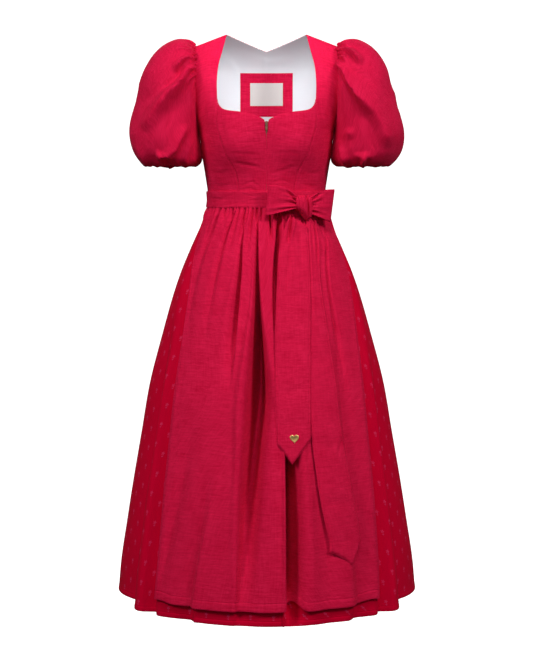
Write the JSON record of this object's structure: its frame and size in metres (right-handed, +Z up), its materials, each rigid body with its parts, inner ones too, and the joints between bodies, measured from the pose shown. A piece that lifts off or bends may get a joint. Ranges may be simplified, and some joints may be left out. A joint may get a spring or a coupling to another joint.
{
  "type": "dirndl dress with apron",
  "caption": "Hollow worn-form dirndl: fitted zip bodice, puff sleeves, gathered midi skirt, and apron tied in a side bow.",
  "frame": {"origin": "middle between the two shoulder seams, where the wearer's shoulders hold the dress up", "axes": "+Z up along the body, -Y out of the dress's front, +X towards the wearer's left"},
  "size_m": [0.6701, 0.5708, 1.248],
  "materials": {
    "linen": "slub linen",
    "apron_linen": "ribbed linen",
    "skirt_cotton": "cotton with a small woven motif",
    "lining": "plain lining",
    "label": "woven satin",
    "zip_tape": "woven tape",
    "zip_metal": "dark bronze",
    "charm_metal": "polished gold colour"
  },
  "bodies": {
    "dress": {"bodice_front_left": "linen", "bodice_front_right": "linen", "bodice_side_left": "linen", "bodice_side_right": "linen", "bodice_back": "linen", "bodice_lining_back": "lining", "label_patch": "linen", "woven_label": "label", "zip_tape": "zip_tape", "zip_slider": "zip_metal", "sleeve_left": "linen", "sleeve_right": "linen", "sleeve_band_left": "linen", "sleeve_band_right": "linen", "skirt_front": "skirt_cotton", "skirt_left": "skirt_cotton", "skirt_right": "skirt_cotton", "skirt_back": "skirt_cotton", "apron_panel": "apron_linen", "apron_band_front": "apron_linen", "apron_tie_back": "apron_linen", "bow_loop_inner": "apron_linen", "bow_loop_outer": "apron_linen", "bow_knot": "apron_linen", "bow_tail_front": "apron_linen", "bow_tail_side": "apron_linen", "charm": "charm_metal"},
    "zip_pull": {"zip_pull": "zip_metal"}
  },
  "joints": [
    {"name": "zip_pull_hinge", "type": "hinge", "parent": "dress", "child": "zip_pull", "pos_m": [0, -0.11351, -0.1915], "axis": [-1, 0, 0], "range_deg": [0, 150]}
  ]
}
